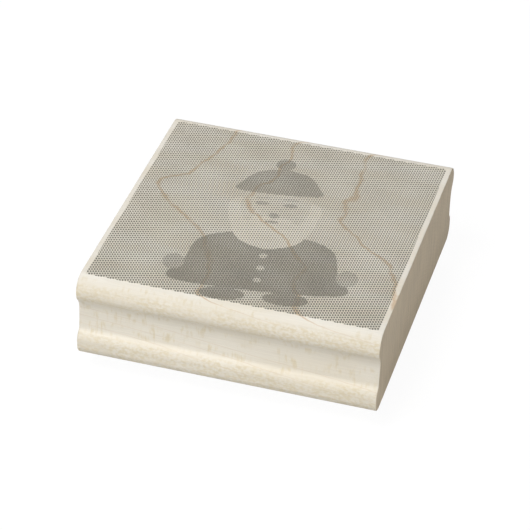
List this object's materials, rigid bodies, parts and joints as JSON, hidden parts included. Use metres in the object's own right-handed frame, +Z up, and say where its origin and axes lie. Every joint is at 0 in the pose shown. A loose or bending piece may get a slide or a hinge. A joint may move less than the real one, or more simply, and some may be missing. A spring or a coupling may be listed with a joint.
{
  "type": "rubber stamp",
  "caption": "Wood-mounted rubber stamp: a moulded maple grip block with a halftone index picture printed on top and a cushioned, engraved rubber die below.",
  "frame": {"origin": "centre of the die's printing face, which the stamp stands on", "axes": "+X along the moulding and the wood's grain, +Z up out of the picture on the block's top face, -Y towards the front grip, where the picture's lower edge is"},
  "size_m": [0.0888, 0.095, 0.0326],
  "materials": {
    "maple": "matte",
    "index_ink": "matte",
    "foam": "matte",
    "adhesive": "satin",
    "rubber": "matte"
  },
  "bodies": {
    "root": {"wood_block": "maple", "upper_adhesive_film": "adhesive", "foam_cushion": "foam", "lower_adhesive_film": "adhesive", "rubber_die": "rubber"}
  },
  "joints": []
}
